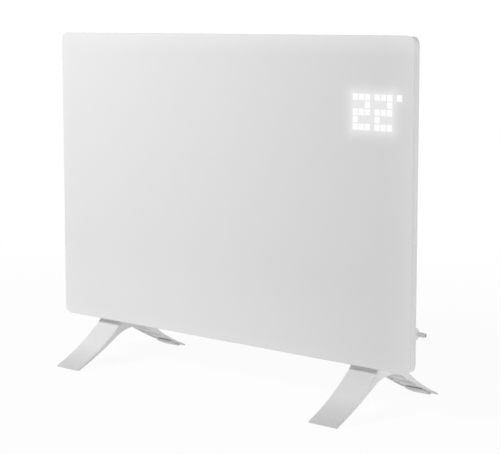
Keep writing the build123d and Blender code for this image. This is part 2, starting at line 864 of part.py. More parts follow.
def overheat_cutout():
    """Bimetal cut-out on the baffle, with an eared flange and two blades."""
    seat_y = tray_back_y + baffle_gap + baffle_sheet
    ears = block(around(cutout_x, 2 * (cutout_r + cutout_ear)),
                 (seat_y, seat_y + cutout_flange_height), around(cutout_z, cutout_flange_width))
    body = ears + rod((cutout_x, seat_y, cutout_z), (0, 1, 0), cutout_r, cutout_height)
    top = seat_y + cutout_height
    for side in (-1, 1):
        body += block(around(cutout_x + side * cutout_r / 2, blade_thickness),
                      (top - 1, top + blade_length), around(cutout_z, blade_width))
    return body


# --------------------------------------------------------------- electronics bay

def power_board():
    """Circuit board with the supply and the heater's switch."""
    return block((power_board_x, power_board_x + power_board_width),
                 (power_board_front_y, power_board_back_y),
                 (power_board_z, power_board_z + power_board_height))


def board_posts():
    """Four snap posts on the tray that stand the power board off and grip its ends."""
    stations = (tray_back_y, power_board_front_y, power_board_back_y)
    posts = []
    for x in (power_board_x + clip_inset, power_board_x + power_board_width - clip_inset):
        for edge, end in ((power_board_z, -1), (power_board_z + power_board_height, 1)):
            blocks = [block(around(x, clip_width), y, z)
                      for y, z in edge_clip(stations, edge, end)]
            posts.append(blocks[0] + blocks[1] + blocks[2])
    return group(posts)


def on_board(place, size):
    """A block on the power board's rear face."""
    left, low = power_board_x + place[0], power_board_z + place[1]
    return block((left, left + size[0]), (power_board_back_y, power_board_back_y + size[2]),
                 (low, low + size[1]))


def bevelled_case(place, size):
    """A boxed component with its rear edges bevelled."""
    case = on_board(place, size)
    return chamfer(case.faces().sort_by(Axis.Y)[-1].edges(), case_bevel)


def transformer():
    """Supply transformer: laminated core round a bobbin."""
    return on_board(core_place, core_size) + on_board(bobbin_place, bobbin_size)


def smoothing_capacitor():
    """Upright can of the supply's smoothing capacitor."""
    seat = (power_board_x + can_place[0], power_board_back_y, power_board_z + can_place[1])
    return rod(seat, (0, 1, 0), can_r, can_height)


def board_terminals():
    """Row of screw terminals at the board's foot, one clamp chamber per wire."""
    strip = on_board(strip_place, strip_size)
    left, low = power_board_x + strip_place[0], power_board_z + strip_place[1]
    top = power_board_back_y + strip_size[2]
    step = strip_size[0] / strip_ways
    wells = [block(around(left + (i + 0.5) * step, well_size), (top - well_depth, top + 1),
                   around(low + strip_size[1] / 2, well_size)) for i in range(strip_ways)]
    return strip - wells


def ribbon_socket():
    """Socket on the power board that takes the read-out's ribbon from above."""
    top = power_board_z + power_board_height - 2
    y = (power_board_back_y, ribbon_drop_y + 2.4)
    body = block(around(ribbon_x, ribbon_width + 4), y, (top - socket_height, top))
    slot = block(around(ribbon_x, ribbon_width + 0.4), around(ribbon_drop_y, ribbon_thickness + 0.2),
                 (top - socket_height / 2, top + 1))
    return body - slot


def display_ribbon():
    """Flat cable from the read-out's board through the tray to the power board."""
    start_y = (display_board_back_y + tray_floor_y) / 2
    end_z = power_board_z + power_board_height - 2 - socket_height / 2 + 0.1
    path = FilletPolyline((start_y, ribbon_slot_z + 24), (start_y, ribbon_slot_z),
                          (ribbon_drop_y, ribbon_slot_z), (ribbon_drop_y, end_z),
                          radius=ribbon_bend_r)
    return side_outline(ribbon_x - ribbon_width / 2, trace(path, ribbon_thickness), ribbon_width)


def mains_terminal_block():
    """Three-way terminal block on the partition, next to the cord gland."""
    left = partition_x + casing_sheet
    right = left + terminal_width
    body = block((left, right), around(terminal_y, terminal_length),
                 around(terminal_z, terminal_height))
    step = terminal_length / terminal_ways
    for i in range(terminal_ways):
        y = terminal_y + (i - (terminal_ways - 1) / 2) * step
        body -= block((right - well_depth, right + 1), around(y, well_size),
                      around(terminal_z, well_size))
    for i in range(terminal_ways - 1):
        y = terminal_y + (i - (terminal_ways - 2) / 2) * step
        body -= block((right - barrier_depth, right + 1), around(y, barrier_width),
                      around(terminal_z, terminal_height + 2))
    return body


def tip_switch():
    """Sealed tilt switch on the partition that cuts the power when the heater falls."""
    left = partition_x + casing_sheet
    width, depth, height = tip_switch_size
    body = block((left, left + width), around(tip_switch_y, depth),
                 around(tip_switch_z, height))
    body = chamfer(body.edges().filter_by(Axis.Z).group_by(Axis.X)[-1], tip_switch_bevel)
    for side in (-1, 1):
        body += block(around(left + width / 2, blade_thickness),
                      around(tip_switch_y + side * depth / 4, blade_width),
                      (tip_switch_z + height / 2 - 1, tip_switch_z + height / 2 + blade_length))
    return body


def sensor_clip():
    """Forked clip on the bottom channel that holds the room sensor in the fresh air."""
    width, depth, height = sensor_post
    x = around(sensor_x, width + 2 * sensor_r)
    clip = block(x, around(sensor_y, depth), (floor_plate_z, floor_plate_z + height))
    seat_z = floor_plate_z + height - sensor_r - 1
    clip -= rod((sensor_x, sensor_y - depth, seat_z), (0, 1, 0), sensor_r + sensor_gap,
                2 * depth)
    return clip - block(around(sensor_x, 2 * sensor_r - 0.6), around(sensor_y, 2 * depth),
                        (seat_z, seat_z + 2 * sensor_r))


def room_sensor():
    """Glass-bead temperature sensor in its sleeve."""
    z = floor_plate_z + sensor_post[2] - sensor_r - 1
    start = (sensor_x, sensor_y - sensor_length / 2, z)
    return rod(start, (0, 1, 0), sensor_r, sensor_length)


# ------------------------------------------------------- buttons on the right cap

def bezel_outline(inset):
    """The bezel's rounded outline in Y and Z, drawn in by an inset."""
    return Pos(button_y, button_mid_z) * RectangleRounded(
        bezel_width - 2 * inset, bezel_height - 2 * inset, bezel_r - inset)


def control_bezel():
    """Bezel plate with an aperture for each button."""
    flange = side_outline(casing_side_x, bezel_outline(0), bezel_flange)
    flange = chamfer(flange.faces().sort_by(Axis.X)[-1].edges(), bezel_bevel)
    body = side_outline(bezel_back_x, bezel_outline(bezel_lip), bezel_body)
    holes = [block((bezel_back_x - 1, bezel_face_x + 1),
                   around(button_y, button_width + 2 * button_gap),
                   around(z, button_height + 2 * button_gap)) for z in button_zs]
    return flange + body - holes


def push_button(z):
    """Push button: proud cap, a flange behind the bezel and a stem to its switch."""
    flange_x = bezel_back_x - button_gap
    face_x = bezel_face_x + button_proud
    cap = block((flange_x, face_x), around(button_y, button_width), around(z, button_height))
    cap = chamfer(cap.faces().sort_by(Axis.X)[-1].edges(), button_bevel)
    flange = block((flange_x - button_flange, flange_x),
                   around(button_y, button_width + 2 * button_flange_lip),
                   around(z, button_height + 2 * button_flange_lip))
    stem_end = plunger_x + button_travel + press_gap
    stem = block((stem_end, flange_x), around(button_y, button_stem), around(z, button_stem))
    return cap + flange + stem


def button_board():
    """Circuit board behind the buttons, in the end cap's clips."""
    return block((button_board_x, button_board_x + button_board_thickness),
                 around(button_y, button_board_width), around(button_mid_z, button_board_height))


def tact_switches():
    """One small switch on the board behind each button."""
    seat_x = button_board_x + button_board_thickness
    switches = []
    for z in button_zs:
        body = block((seat_x, seat_x + tact_height), around(button_y, tact_size),
                     around(z, tact_size))
        plunger = block((seat_x, plunger_x), around(button_y, plunger_size),
                        around(z, plunger_size))
        switches.append(body + plunger)
    return group(switches)


# ----------------------------------------------------------- mains rocker switch

def well_width():
    return rocker_width + 2 * rocker_side_gap


def well_height():
    return rocker_length + 2 * rocker_end_gap


def frame_width():
    return well_width() + 2 * frame_wall


def frame_height():
    return well_height() + 2 * frame_wall


rocker_pivot_x = casing_side_x - rocker_pivot_in


def rocker_frame():
    """Snap-in switch housing with a well for the rocker and two blades behind."""
    back_x = casing_side_x - frame_depth
    body = block((back_x, casing_side_x), around(rocker_y, frame_width()),
                 around(rocker_z, frame_height()))
    flange = block((casing_side_x, casing_side_x + frame_flange),
                   around(rocker_y, frame_width() + 2 * frame_lip),
                   around(rocker_z, frame_height() + 2 * frame_lip))
    body += chamfer(flange.faces().sort_by(Axis.X)[-1].edges(), frame_bevel)
    body -= block((casing_side_x + frame_flange - frame_well, casing_side_x + frame_flange + 1),
                  around(rocker_y, well_width()), around(rocker_z, well_height()))
    pin_room = rocker_width / 2 + rocker_pin_reach + rocker_pin_gap
    body -= rod((rocker_pivot_x, rocker_y - pin_room, rocker_z), (0, 1, 0),
                rocker_pin_r + rocker_pin_gap, 2 * pin_room)
    for side in (-1, 1):
        body += block((back_x - blade_length, back_x + 1), around(rocker_y, blade_width),
                      around(rocker_z + side * rocker_length / 3, blade_thickness))
    return body


def mains_rocker():
    """Rocker on its own pins, modelled switched on, with its upper half pressed in."""
    half = rocker_length / 2
    outline = [(rocker_skirt, -half), (rocker_crest, -half), (rocker_crest - rocker_hollow, 0),
               (rocker_crest, half), (rocker_skirt, half),
               (-rocker_belly, rocker_heel), (-rocker_belly, -rocker_heel)]
    plane = Plane((0, rocker_width / 2, 0), x_dir=(1, 0, 0), z_dir=(0, -1, 0))
    key = extrude(plane * make_face(Polyline(*outline, close=True)), amount=rocker_width)
    reach = rocker_width / 2 + rocker_pin_reach
    key += rod((0, -reach, 0), (0, 1, 0), rocker_pin_r, 2 * reach)
    return Pos(rocker_pivot_x, rocker_y, rocker_z) * Rot(0, -rocker_tilt, 0) * key


# --------------------------------------------------------------------- cord gland

def along_gland(profile):
    """Revolves an outline of (distance out from the cap, radius) round the gland's axis."""
    face = make_face(Polyline(*profile, close=True))
    turned = revolve(face, axis=Axis.X)
    return Pos(casing_side_x, gland_y, gland_z) * turned


def gland_body():
    """Threaded gland body, clamped through the end cap's wall."""
    end = gland_flange + gland_stub
    return along_gland([(-gland_inner_length, gland_bore_r), (-gland_inner_length, gland_thread_r),
                        (0, gland_thread_r), (0, gland_flange_r), (gland_flange, gland_flange_r),
                        (gland_flange, gland_stub_r), (end, gland_stub_r), (end, gland_bore_r)])


def gland_nut():
    """Dome nut that tightens on the body and ends in a slim bend-relief nose."""
    start = gland_flange + lap_gap
    neck = start + gland_dome_length
    end = neck + gland_nose_length
    recess = gland_flange + gland_stub + lap_gap
    recess_r = gland_stub_r + thread_gap
    return along_gland([(recess, recess_r), (start, recess_r), (start, gland_dome_r),
                        (neck - gland_dome_taper, gland_dome_r), (neck, gland_nose_r),
                        (end, gland_nose_r), (end, nose_bore_r), (recess, nose_bore_r)])


def gland_locknut():
    """Hexagonal locknut inside the end cap."""
    outline = Pos(gland_y, gland_z) * hexagon(locknut_flats)
    nut = side_outline(cap_wall_x - locknut_height, outline, locknut_height)
    return nut - rod((cap_wall_x - locknut_height - 1, gland_y, gland_z), (1, 0, 0),
                     gland_thread_r + thread_gap, locknut_height + 2)


# ----------------------------------------------------------------------- floor feet

toe_reach = foot_length / 2
toe_top = (toe_reach, toe_lift + toe_thickness)
toe_under = (toe_reach, toe_lift)
saddle_half = foot_saddle / 2
neck = (saddle_half + foot_neck_flare, casing_bottom_z - foot_neck_drop)
arch_spring = (arch_half, casing_bottom_z - arch_spring_drop)
arch_top_z = casing_bottom_z - arch_top_drop
hollow_half = toe_reach - toe_solid
pad_end = toe_reach - pad_inset
pad_start = pad_end - pad_length
below_floor_z = -4 * foot_skin


def mirrored(point):
    """The same point on the other leg."""
    return (-point[0], point[1])


def both_legs(lines):
    """Lines of the rear leg, with the same ones on the front leg."""
    return [*lines, *[line.mirror(Plane.YZ) for line in lines]]


def leg_under_arc():
    """Underside of the rear leg, from the arch down to the toe."""
    return SagittaArc(arch_spring, toe_under, -leg_under_sag)


def under_top_outline():
    """All that lies below the foot's upper surface, in Y and Z."""
    saddle = Polyline(mirrored(neck), (-saddle_half, casing_bottom_z),
                      (saddle_half, casing_bottom_z), neck)
    leg = [SagittaArc(neck, toe_top, -leg_top_sag), Line(toe_top, (toe_reach, below_floor_z))]
    low = Line((-toe_reach, below_floor_z), (toe_reach, below_floor_z))
    face = make_face([saddle, low, *both_legs(leg)])
    corners = [v for v in face.vertices() if abs(v.Y - neck[1]) < 0.1]
    return fillet(corners, foot_neck_r)


def over_arch_outline():
    """All that lies above the foot's underside, in Y and Z."""
    arch = ThreePointArc(mirrored(arch_spring), (0, arch_top_z), arch_spring)
    leg = [leg_under_arc(), Line(toe_under, (toe_reach, casing_bottom_z))]
    top = Line((-toe_reach, casing_bottom_z), (toe_reach, casing_bottom_z))
    return make_face([arch, top, *both_legs(leg)])


def foot(x):
    """Moulded bridge foot: thin skin, side walls, cross ribs and two screw bosses."""
    left = x - foot_width / 2
    body = side_outline(left, under_top_outline(), foot_width)
    brows = [edge for edge in body.faces().filter_by(Axis.X).edges()
             if 0 < edge.center().Z < casing_bottom_z - 0.1
             and abs(edge.center().Y) < toe_reach - 0.1]
    body = chamfer(brows, foot_edge_bevel)
    body &= side_outline(left, over_arch_outline(), foot_width)
    room = side_outline(left + foot_skin, offset(under_top_outline(), -foot_skin),
                        foot_width - 2 * foot_skin)
    room &= block((left, left + foot_width), (-hollow_half, hollow_half),
                  (-foot_skin, casing_bottom_z))
    for y in [side * value for side in (-1, 1) for value in leg_rib_y]:
        room -= block((left, left + foot_width), around(y, leg_rib), (0, casing_bottom_z))
    for y in foot_screw_ys:
        room -= block(around(x, foot_boss), around(y, foot_boss),
                      (casing_bottom_z - foot_boss_height, casing_bottom_z))
    body -= room
    for y in foot_screw_ys:
        body -= foot_screw_core(x, y, (casing_bottom_z - foot_boss_height - 1,
                                       casing_bottom_z + 1))
    return body


def foot_screw_core(x, y, z):
    """Square hole for a foot's screw, in its boss or in the bottom channel."""
    core = 2 * (foot_screw_r + foot_screw_gap)
    return block(around(x, core), around(y, core), z)


def toe_underside(y):
    """Height of the rear leg's underside at a distance from the foot's middle."""
    arc = leg_under_arc()
    return arc.arc_center.Y - sqrt(arc.radius ** 2 - (y - arc.arc_center.X) ** 2)


def toe_distance(z):
    """Distance from the foot's middle at which the leg's underside has a height."""
    arc = leg_under_arc()
    return arc.arc_center.X - sqrt(arc.radius ** 2 - (z - arc.arc_center.Y) ** 2)


def under_leg(start, end, drop):
    """Arc that runs under the leg, a drop below it, between two distances."""
    places = (start, (start + end) / 2, end)
    return ThreePointArc(*[(y, toe_underside(y) - drop) for y in places])


def foot_pad(x, side):
    """Thin rubber pad under a toe: it follows the toe and stands flat on the floor."""
    floor_start = toe_distance(pad_gap + pad_thickness)
    top = under_leg(pad_start, pad_end, pad_gap)
    low = under_leg(pad_start, floor_start, pad_gap + pad_thickness)
    ends = [Line(top @ 0, low @ 0), Polyline(low @ 1, (pad_end, 0), top @ 1)]
    pad = side_outline(x - pad_width / 2, make_face([top, low, *ends]), pad_width)
    return pad if side > 0 else pad.mirror(Plane.XZ)


def foot_screws():
    """Screws up through the feet's bosses into the weld nuts."""
    seat_z = casing_bottom_z - foot_boss_height
    length = foot_boss_height + casing_sheet + weld_nut_height + 1
    return group(screw((x, y, seat_z), (0, 0, 1), length, foot_screw_r, foot_screw_flats,
                       foot_screw_head) for x in foot_xs.values() for y in foot_screw_ys)


def weld_nuts():
    """Nuts welded on top of the bottom channel for the feet's screws."""
    nuts = []
    for x in foot_xs.values():
        for y in foot_screw_ys:
            outline = Pos(x, y) * hexagon(weld_nut_flats)
            nut = extrude(Plane.XY.offset(floor_plate_z) * outline, amount=weld_nut_height)
            nuts.append(nut - rod((x, y, floor_plate_z - 1), (0, 0, 1), foot_screw_r + thread_gap,
                                  weld_nut_height + 2))
    return group(nuts)


# ------------------------------------------------------------------------ assembly

parts = {
    "glass_panel": glass_panel(),
    "panel_tray": panel_tray(),
    "bonding_rails": bonding_rails(),
    "bonding_tapes": bonding_tapes(),
    "display_diffuser": display_diffuser(),
    "display_light_box": display_light_box(),
    "display_board": display_board(),
    "display_pads": display_pads(),
    "display_leds": display_leds(),
    "display_ribbon": display_ribbon(),
    "rear_panel": rear_panel(),
    "bottom_channel": bottom_channel(),
    "end_cap_left": end_cap(-1),
    "end_cap_right": end_cap_right(),
    "front_screws": front_screws(),
    "rear_screws": rear_screws(),
    "outlet_grille": outlet_grille(),
    "partition_plate": partition_plate(),
    "heat_baffle": heat_baffle(),
    "heating_element": heating_element(),
    "element_core": element_core(),
    "element_brackets": element_brackets(),
    "element_bushes": element_bushes(),
    "overheat_cutout": overheat_cutout(),
    "power_board": power_board(),
    "board_posts": board_posts(),
    "relay": bevelled_case(relay_place, relay_size),
    "transformer": transformer(),
    "smoothing_capacitor": smoothing_capacitor(),
    "suppression_capacitor": bevelled_case(suppressor_place, suppressor_size),
    "board_terminals": board_terminals(),
    "ribbon_socket": ribbon_socket(),
    "mains_terminal_block": mains_terminal_block(),
    "tip_switch": tip_switch(),
    "sensor_clip": sensor_clip(),
    "room_sensor": room_sensor(),
    "control_bezel": control_bezel(),
    "button_board": button_board(),
    "tact_switches": tact_switches(),
    "rocker_frame": rocker_frame(),
    "mains_rocker": mains_rocker(),
    "gland_body": gland_body(),
    "gland_nut": gland_nut(),
    "gland_locknut": gland_locknut(),
    "foot_screws": foot_screws(),
    "weld_nuts": weld_nuts(),
}

for name, z in zip(("button_minus", "button_plus", "button_mode", "button_power"), button_zs):
    parts[name] = push_button(z)

for name, x in foot_xs.items():
    parts["foot_" + name] = foot(x)
    for end, side in (("front", -1), ("rear", 1)):
        parts["pad_" + end + "_" + name] = foot_pad(x, side)

os.makedirs("parts", exist_ok=True)
for name, shape in parts.items():
    export_step(shape, "parts/" + name + ".step")
    print(name, round(shape.volume))
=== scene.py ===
import math

import bpy
from mathutils import Matrix, Vector


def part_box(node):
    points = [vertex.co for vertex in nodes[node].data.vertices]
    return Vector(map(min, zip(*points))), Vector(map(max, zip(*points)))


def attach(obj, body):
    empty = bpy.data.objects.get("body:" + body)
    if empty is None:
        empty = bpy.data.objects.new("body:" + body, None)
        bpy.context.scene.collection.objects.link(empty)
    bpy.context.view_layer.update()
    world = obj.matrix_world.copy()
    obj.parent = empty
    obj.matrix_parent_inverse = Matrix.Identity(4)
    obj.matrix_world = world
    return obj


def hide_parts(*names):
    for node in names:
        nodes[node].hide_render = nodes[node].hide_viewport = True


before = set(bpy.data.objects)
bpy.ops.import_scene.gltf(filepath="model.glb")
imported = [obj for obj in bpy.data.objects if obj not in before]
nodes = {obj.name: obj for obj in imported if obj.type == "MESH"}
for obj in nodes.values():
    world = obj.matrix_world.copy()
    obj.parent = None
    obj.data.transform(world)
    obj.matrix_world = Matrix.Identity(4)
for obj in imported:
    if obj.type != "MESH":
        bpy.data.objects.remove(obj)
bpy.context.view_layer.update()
bpy.ops.object.select_all(action="DESELECT")


# ---------------------------------------------------------------------- glass front
# One sheet of 5 mm tempered glass, screen-printed white on its back and ground along
# its edges. It is bonded to the tray behind it with foam tape, and the read-out's
# cells shine through the print with a soft glow round them. The print's white carries
# painted light in paler bands along its edges, and painted shade towards the right.

class Field:
    """A number, colour or place that varies over a surface, as a socket of its nodes."""

    def __init__(self, tree, socket):
        self.tree = tree
        self.socket = socket

    def made(self, kind, settings, values, output=0):
        """A new node: its settings are set first, then its sockets' values or links."""
        new = self.tree.nodes.new(kind)
        for name, value in settings.items():
            setattr(new, name, value)
        for name, value in values.items():
            if isinstance(value, Field):
                self.tree.links.new(value.socket, new.inputs[name])
            else:
                new.inputs[name].default_value = value
        return Field(self.tree, new.outputs[output])

    def maths(self, operation, *terms):
        return self.made("ShaderNodeMath", {"operation": operation}, dict(enumerate(terms)))

    def __add__(self, other):
        return self.maths("ADD", self, other)

    def __sub__(self, other):
        return self.maths("SUBTRACT", self, other)

    def __rsub__(self, other):
        return self.maths("SUBTRACT", other, self)

    def __mul__(self, other):
        return self.maths("MULTIPLY", self, other)

    def __truediv__(self, other):
        return self.maths("DIVIDE", self, other)

    def __mod__(self, other):
        return self.maths("FLOORED_MODULO", self, other)

    def __abs__(self):
        return self.maths("ABSOLUTE", self)

    def __gt__(self, other):
        return self.maths("GREATER_THAN", self, other)

    def __lt__(self, other):
        return self.maths("LESS_THAN", self, other)

    __radd__ = __add__
    __rmul__ = __mul__

    def floor(self):
        return self.maths("FLOOR", self)

    def root(self):
        return self.maths("SQRT", self)

    def near(self, value, within):
        """1 where the field is this close to a value, else 0."""
        return self.maths("COMPARE", self, value, within)

    def least(self, other):
        return self.maths("MINIMUM", self, other)

    def most(self, other):
        return self.maths("MAXIMUM", self, other)

    def clamped(self):
        return self.made("ShaderNodeClamp", {}, {"Value": self})

    def axis(self, name):
        return self.made("ShaderNodeSeparateXYZ", {}, {"Vector": self}, name)

    def drawn(self, x, y, z):
        """The place with its axes multiplied, so that a pattern stretches along them."""
        return self.made("ShaderNodeVectorMath", {"operation": "MULTIPLY"},
                         {0: self, 1: (x, y, z)})

    def grain(self, size, detail=2.0):
        """Noise of 0 to 1 whose grains are about this size, in metres."""
        return self.made("ShaderNodeTexNoise", {}, {"Vector": self, "Scale": 1 / size,
                                                    "Detail": detail}, "Fac")

    def between(self, low, high):
        """The colour that lies this far from the low one, which may vary, to the high."""
        start = low if isinstance(low, Field) else (*low, 1)
        return self.made("ShaderNodeMix", {"data_type": "RGBA"},
                         {"Factor": self, "A": start, "B": (*high, 1)}, "Result")

    def relief(self, height):
        """This field as a surface relief of a height, in metres."""
        return self.made("ShaderNodeBump", {}, {"Height": self, "Distance": height},
                         "Normal")

    def into(self, shader, name):
        self.tree.links.new(self.socket, shader.inputs[name])


def finish(name, **constants):
    """A material whose shader has these constants, and the place on the object."""
    material = bpy.data.materials.new(name)
    material.use_nodes = True
    tree = material.node_tree
    shader = tree.nodes["Principled BSDF"]
    for socket, value in constants.items():
        shader.inputs[socket.replace("_", " ")].default_value = value
    place = Field(tree, tree.nodes.new("ShaderNodeTexCoord").outputs["Object"])
    return material, shader, place


def dress(material, *names):
    """Gives CAD nodes their finish."""
    for name in names:
        for slot in nodes[name].material_slots:
            slot.material = material


def grey(value):
    """A neutral colour."""
    return (value, value, value)


def edge_distance(x, z, low, high):
    """How far a place lies inside a rectangle's nearest side, below 0 outside it."""
    inside_x = (x - low[0]).least(high[0] - x)
    return inside_x.least((z - low[1]).least(high[1] - z))


def glow_round(x, z, low, high, reach):
    """Light that is full over a rectangle and fades to nothing at a reach round it."""
    beyond = [abs(part - (a + b) / 2) - (b - a) / 2
              for part, a, b in zip((x, z), low, high)]
    beyond_x, beyond_z = (part.most(0.0) / reach for part in beyond)
    distance = (beyond_x * beyond_x + beyond_z * beyond_z).root()
    faded = (1 - distance).clamped()
    return faded * faded


glass_low, glass_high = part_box("glass_panel")
print_margin = 0.0016
print_white = 0.864
# how wide the paler bands of painted light along the edges are, and how much paler;
# and how much painted shade darkens the print towards the right
painted_rim_band, painted_top_band, painted_side_band, painted_bottom_band = 0.022, 0.030, 0.050, 0.120
painted_rim_tone, painted_top_tone, painted_side_tone, painted_bottom_tone = 0.020, 0.060, 0.055, 0.045
plain_tone, painted_right_shade, painted_top_slope, cloud_tone = 0.885, 0.025, 0.045, 0.012
bare_rim_tone = 0.958

white_glass, shader, place = finish("white_glass", IOR=1.5, Coat_Weight=0.35,
                                    Coat_Roughness=0.12, Emission_Strength=1.0)
x, z = place.axis("X"), place.axis("Z")
inset = edge_distance(x, z, (glass_low.x, glass_low.z), (glass_high.x, glass_high.z))
printed = (inset / print_margin).clamped()
painted_rim = (1 - inset / painted_rim_band).clamped()
above = (1 - (glass_high.z - z) / painted_top_band).clamped()
painted_side = (1 - (glass_high.x - x) / painted_side_band).clamped()
below = (1 - (z - glass_low.z) / painted_bottom_band).clamped()
rightward = x / glass_high.x
# painted light: paler bands along the rim, the top, the right side and the bottom; painted
# shade darkening the print towards the right
tone = plain_tone + painted_rim_tone * painted_rim + painted_side_tone * painted_side + painted_bottom_tone * below
tone = tone + above * (painted_top_tone + painted_top_slope * rightward) - painted_right_shade * rightward.clamped()
tone = tone + cloud_tone * place.grain(0.12, 1.0)
tone = tone * (bare_rim_tone + (1 - bare_rim_tone) * printed)
tone.between(grey(0.0), grey(print_white)).into(shader, "Base Color")
(0.22 + 0.05 * place.grain(0.05)).into(shader, "Roughness")

light_box_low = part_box("display_light_box")[0]
light_box_margin, well_wall = 0.004, 0.001
cell = 0.0085
cell_pitch = 0.010
cell_blur = 0.0004
digit_pitch = 0.036
digits_width = digit_pitch + 2 * cell_pitch + cell
digits_height = 4 * cell_pitch + cell
first_cell = light_box_margin + (cell_pitch - well_wall - cell) / 2
digits_left = light_box_low.x + first_cell
digits_low = light_box_low.z + first_cell
across, up = x - digits_left, z - digits_low
column = ((across % digit_pitch) / cell_pitch).floor()
row = (up / cell_pitch).floor()
lit = (1 - row % 2).most(column.near(row - 1, 0.1)) * (column < 2.5)
cell_x = 0.5 + (cell / 2 - abs((across % digit_pitch) % cell_pitch - cell / 2)) / cell_blur
cell_z = 0.5 + (cell / 2 - abs(up % cell_pitch - cell / 2)) / cell_blur
digits_high = (digits_left + digits_width, digits_low + digits_height)
digits_edge = edge_distance(x, z, (digits_left, digits_low), digits_high)
digits = lit * cell_x.clamped() * cell_z.clamped() * (digits_edge > -cell_blur)
degree_left = digits_left + 2 * digit_pitch
degree_low = digits_low + 4 * cell_pitch
degree_high = (degree_left + cell, degree_low + cell)
degree = (0.5 + edge_distance(x, z, (degree_left, degree_low), degree_high)
          / cell_blur).clamped()
halo_reach = 0.022
halo_strength, small_halo_strength = 0.155, 0.0465
cell_strength, degree_strength = 0.20, 0.26
halo = glow_round(x, z, (digits_left, digits_low), digits_high, halo_reach)
small_halo = glow_round(x, z, (degree_left, degree_low), degree_high, halo_reach)
shine = halo_strength * halo + small_halo_strength * small_halo
light = (shine + cell_strength * digits + degree_strength * degree).clamped()
light.between(grey(0.0), grey(1.0)).into(shader, "Emission Color")
dress(white_glass, "glass_panel")


# ---------------------------------------------------------- tray behind the glass
# A shallow tray folded from 1 mm sheet steel and powder-coated white. It carries the
# glass in front and the casing behind, and everything is screwed or hooked to it.

white_steel, shader, place = finish("white_steel", IOR=1.5)
peel = place.grain(0.0016, 3.0)
coat = place.grain(0.09)
coat.between(grey(0.762), grey(0.802)).into(shader, "Base Color")
(0.42 + 0.12 * peel).into(shader, "Roughness")
peel.relief(0.00005).into(shader, "Normal")
dress(white_steel, "panel_tray")


# ---------------------------------------------------------- rails and bonding tape
# Folded rails of galvanised steel are welded inside the tray, and strips of white
# acrylic foam on them hold the glass.

spangle_size = 0.007
zinc_steel, shader, place = finish("zinc_steel", Metallic=0.9)
spangle = place.made("ShaderNodeTexVoronoi", {}, {"Vector": place,
                                                  "Scale": 1 / spangle_size}, "Color")
spangle = spangle.axis("X")
spangle.between((0.52, 0.53, 0.54), (0.68, 0.69, 0.70)).into(shader, "Base Color")
(0.32 + 0.15 * spangle).into(shader, "Roughness")
place.grain(spangle_size / 8).relief(0.00001).into(shader, "Normal")
dress(zinc_steel, "bonding_rails")

foam_tape, shader, place = finish("foam_tape")
pores = place.grain(0.0006, 3.0)
pores.between((0.62, 0.62, 0.61), (0.84, 0.84, 0.83)).into(shader, "Base Color")
(0.80 + 0.15 * pores).into(shader, "Roughness")
pores.relief(0.0002).into(shader, "Normal")
dress(foam_tape, "bonding_tapes", "display_pads")


# --------------------------------------------------------------- read-out's light box
# A black moulded grid with one well for each cell, closed by a milky film against the
# glass. A white light-emitting chip shines into each well from the board behind it.

def moulded(name, deep, pale, gloss):
    """Moulded plastic: faint flow tones under a fine spark-eroded skin."""
    material, shader, place = finish(name, IOR=1.48)
    pits = place.grain(0.0009)
    flow = place.grain(0.045, 1.0)
    flow.between(deep, pale).into(shader, "Base Color")
    (gloss + 0.10 * pits + 0.05 * flow).into(shader, "Roughness")
    pits.relief(0.00004).into(shader, "Normal")
    return material


black_plastic = moulded("black_plastic", (0.030, 0.030, 0.032), (0.055, 0.055, 0.058), 0.45)
dress(black_plastic, "display_light_box")

milky_film, shader, place = finish("milky_film")
haze = place.grain(0.0012, 3.0)
haze.between((0.86, 0.87, 0.88), (0.93, 0.94, 0.95)).into(shader, "Base Color")
(0.30 + 0.15 * haze).into(shader, "Roughness")
dress(milky_film, "display_diffuser")

led, shader, place = finish("led")
phosphor_depth = 0.0002
phosphor = place.axis("Y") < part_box("display_leds")[0].y + phosphor_depth
phosphor.between((0.90, 0.90, 0.88), (0.95, 0.86, 0.38)).into(shader, "Base Color")
(0.25 + 0.2 * place.grain(0.001)).into(shader, "Roughness")
dress(led, "display_leds")


# ------------------------------------------------------------------ circuit boards
# Glass-fibre boards under green solder mask, with copper tracks showing through:
# one for the read-out, one for power and one behind the buttons.

green_board, shader, place = finish("green_board", IOR=1.5)
x = place.axis("X")
track_pitch, track_width, track_jog = 0.0024, 0.0011, 0.0006
jog = (place.drawn(0.4, 1, 1).grain(0.011, 0.0) * 9).floor() * track_jog
tracks = (((x + jog) % track_pitch) < track_width) * (place.grain(0.017, 0.0) > 0.46)
weave = place.grain(0.0007)
masked = (0.3 * weave + 0.6 * tracks).clamped()
masked.between((0.022, 0.15, 0.065), (0.06, 0.33, 0.14)).into(shader, "Base Color")
(0.28 + 0.15 * weave).into(shader, "Roughness")
tracks.relief(0.00006).into(shader, "Normal")
dress(green_board, "display_board", "power_board", "button_board")


# ------------------------------------------------------------------ read-out's cable
# Flat grey PVC ribbon cable with its first conductor marked red, from the read-out's
# board through the tray to the socket on the power board. The grooves between its
# wires are painted darker, as painted shade.

grey_insulation, shader, place = finish("grey_insulation")
x = place.axis("X")
wire_pitch = 0.00127
groove = abs((x % wire_pitch) / wire_pitch - 0.5) * 2
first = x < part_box("display_ribbon")[0].x + wire_pitch
# painted shade: darker in the grooves between the wires
shaded_wires = (0.35 * groove + 0.2 * place.grain(0.003)).clamped()
shaded_wires = shaded_wires.between((0.52, 0.53, 0.54), (0.30, 0.31, 0.32))
first.between(shaded_wires, (0.45, 0.05, 0.05)).into(shader, "Base Color")
(0.42 + 0.1 * groove).into(shader, "Roughness")
(1 - groove).relief(0.0003).into(shader, "Normal")
dress(grey_insulation, "display_ribbon")


